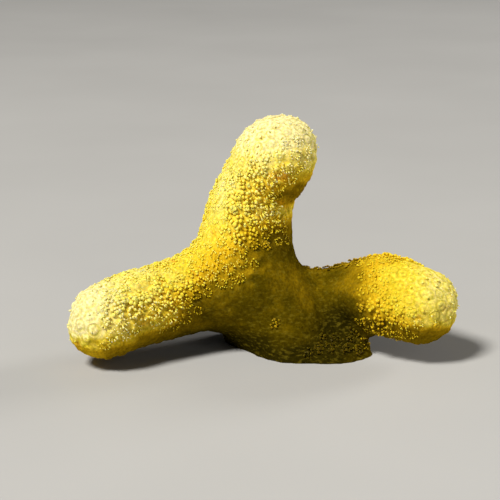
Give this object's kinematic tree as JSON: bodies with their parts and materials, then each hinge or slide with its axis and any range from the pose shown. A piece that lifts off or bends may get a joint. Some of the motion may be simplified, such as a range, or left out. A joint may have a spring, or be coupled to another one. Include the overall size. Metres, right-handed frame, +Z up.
{
  "type": "porites coral",
  "caption": "Yellow finger coral: stout, round-ended branches on a short trunk cut off flat at its foot, covered all over in small polyps.",
  "frame": {"origin": "centre of the flat foot, on the surface that the coral stands on", "axes": "+Z up; +X runs from the left branch towards the right branch, the longest way across; the left branch comes forward, along -Y"},
  "size_m": [0.0614, 0.0261, 0.0376],
  "materials": {
    "coral_trunk": "matt, ochre to olive, knobbly with open polyps",
    "coral_branch": "matt, warm yellow with pale ringed ends, knobbly with open polyps"
  },
  "bodies": {
    "root": {"trunk": "coral_trunk", "left_branch": "coral_branch", "upper_branch": "coral_branch", "right_branch": "coral_branch"}
  },
  "joints": []
}
